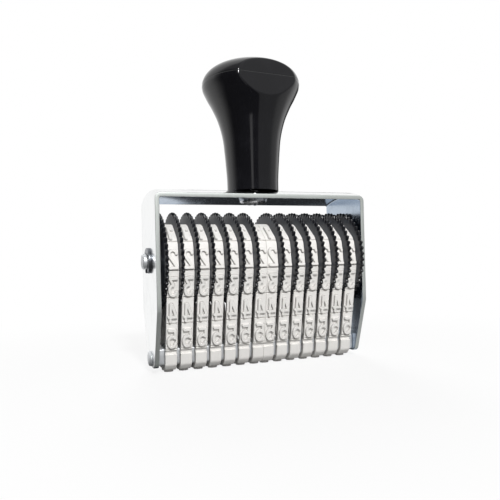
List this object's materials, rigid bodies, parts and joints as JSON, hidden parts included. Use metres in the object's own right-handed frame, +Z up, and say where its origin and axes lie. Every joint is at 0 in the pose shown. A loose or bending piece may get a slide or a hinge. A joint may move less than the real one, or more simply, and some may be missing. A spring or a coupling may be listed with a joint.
{
  "type": "numbering hand stamp",
  "caption": "Numbering hand stamp with toothed thumb wheels driving endless rubber digit bands round a print bar in a bent steel yoke under a flared knob handle.",
  "frame": {"origin": "middle of the print face, on the paper, below the axle", "axes": "+X along the axle to the right of the reader, -Y is the front that the reader faces, +Z up through the handle"},
  "size_m": [0.0594, 0.0251, 0.0791],
  "materials": {
    "black_moulding": "polished black moulded plastic",
    "screw_steel": "zinc-plated steel",
    "washer_steel": "spring steel",
    "yoke_nickel": "bright nickel plate on bent sheet steel",
    "bar_steel": "bright drawn steel",
    "axle_steel": "turned steel",
    "clip_steel": "dark spring steel",
    "wheel_black": "matt black moulded plastic",
    "band_rubber": "off-white moulded rubber"
  },
  "bodies": {
    "stamp": {"handle_knob": "black_moulding", "handle_screw": "screw_steel", "lock_washer": "washer_steel", "frame_yoke": "yoke_nickel", "print_bar": "bar_steel", "axle": "axle_steel", "axle_clip_left": "clip_steel", "axle_clip_right": "clip_steel", "number_band_01": "band_rubber", "number_band_02": "band_rubber", "number_band_03": "band_rubber", "number_band_04": "band_rubber", "number_band_05": "band_rubber", "number_band_06": "band_rubber", "number_band_07": "band_rubber", "number_band_08": "band_rubber", "number_band_09": "band_rubber", "number_band_10": "band_rubber", "number_band_11": "band_rubber", "number_band_12": "band_rubber", "number_band_13": "band_rubber", "number_band_14": "band_rubber"},
    "number_wheel_01_body": {"number_wheel_01": "wheel_black"},
    "number_wheel_02_body": {"number_wheel_02": "wheel_black"},
    "number_wheel_03_body": {"number_wheel_03": "wheel_black"},
    "number_wheel_04_body": {"number_wheel_04": "wheel_black"},
    "number_wheel_05_body": {"number_wheel_05": "wheel_black"},
    "number_wheel_06_body": {"number_wheel_06": "wheel_black"},
    "number_wheel_07_body": {"number_wheel_07": "wheel_black"},
    "number_wheel_08_body": {"number_wheel_08": "wheel_black"},
    "number_wheel_09_body": {"number_wheel_09": "wheel_black"},
    "number_wheel_10_body": {"number_wheel_10": "wheel_black"},
    "number_wheel_11_body": {"number_wheel_11": "wheel_black"},
    "number_wheel_12_body": {"number_wheel_12": "wheel_black"},
    "number_wheel_13_body": {"number_wheel_13": "wheel_black"},
    "number_wheel_14_body": {"number_wheel_14": "wheel_black"}
  },
  "joints": [
    {"name": "number_wheel_01_turn", "type": "hinge", "parent": "stamp", "child": "number_wheel_01_body", "pos_m": [0, 0, 0.02715], "axis": [1, 0, 0], "continuous": true, "deforming": ["number_band_01"]},
    {"name": "number_wheel_02_turn", "type": "hinge", "parent": "stamp", "child": "number_wheel_02_body", "pos_m": [0, 0, 0.02715], "axis": [1, 0, 0], "continuous": true, "deforming": ["number_band_02"]},
    {"name": "number_wheel_03_turn", "type": "hinge", "parent": "stamp", "child": "number_wheel_03_body", "pos_m": [0, 0, 0.02715], "axis": [1, 0, 0], "continuous": true, "deforming": ["number_band_03"]},
    {"name": "number_wheel_04_turn", "type": "hinge", "parent": "stamp", "child": "number_wheel_04_body", "pos_m": [0, 0, 0.02715], "axis": [1, 0, 0], "continuous": true, "deforming": ["number_band_04"]},
    {"name": "number_wheel_05_turn", "type": "hinge", "parent": "stamp", "child": "number_wheel_05_body", "pos_m": [0, 0, 0.02715], "axis": [1, 0, 0], "continuous": true, "deforming": ["number_band_05"]},
    {"name": "number_wheel_06_turn", "type": "hinge", "parent": "stamp", "child": "number_wheel_06_body", "pos_m": [0, 0, 0.02715], "axis": [1, 0, 0], "continuous": true, "deforming": ["number_band_06"]},
    {"name": "number_wheel_07_turn", "type": "hinge", "parent": "stamp", "child": "number_wheel_07_body", "pos_m": [0, 0, 0.02715], "axis": [1, 0, 0], "continuous": true, "deforming": ["number_band_07"]},
    {"name": "number_wheel_08_turn", "type": "hinge", "parent": "stamp", "child": "number_wheel_08_body", "pos_m": [0, 0, 0.02715], "axis": [1, 0, 0], "continuous": true, "deforming": ["number_band_08"]},
    {"name": "number_wheel_09_turn", "type": "hinge", "parent": "stamp", "child": "number_wheel_09_body", "pos_m": [0, 0, 0.02715], "axis": [1, 0, 0], "continuous": true, "deforming": ["number_band_09"]},
    {"name": "number_wheel_10_turn", "type": "hinge", "parent": "stamp", "child": "number_wheel_10_body", "pos_m": [0, 0, 0.02715], "axis": [1, 0, 0], "continuous": true, "deforming": ["number_band_10"]},
    {"name": "number_wheel_11_turn", "type": "hinge", "parent": "stamp", "child": "number_wheel_11_body", "pos_m": [0, 0, 0.02715], "axis": [1, 0, 0], "continuous": true, "deforming": ["number_band_11"]},
    {"name": "number_wheel_12_turn", "type": "hinge", "parent": "stamp", "child": "number_wheel_12_body", "pos_m": [0, 0, 0.02715], "axis": [1, 0, 0], "continuous": true, "deforming": ["number_band_12"]},
    {"name": "number_wheel_13_turn", "type": "hinge", "parent": "stamp", "child": "number_wheel_13_body", "pos_m": [0, 0, 0.02715], "axis": [1, 0, 0], "continuous": true, "deforming": ["number_band_13"]},
    {"name": "number_wheel_14_turn", "type": "hinge", "parent": "stamp", "child": "number_wheel_14_body", "pos_m": [0, 0, 0.02715], "axis": [1, 0, 0], "continuous": true, "deforming": ["number_band_14"]}
  ]
}
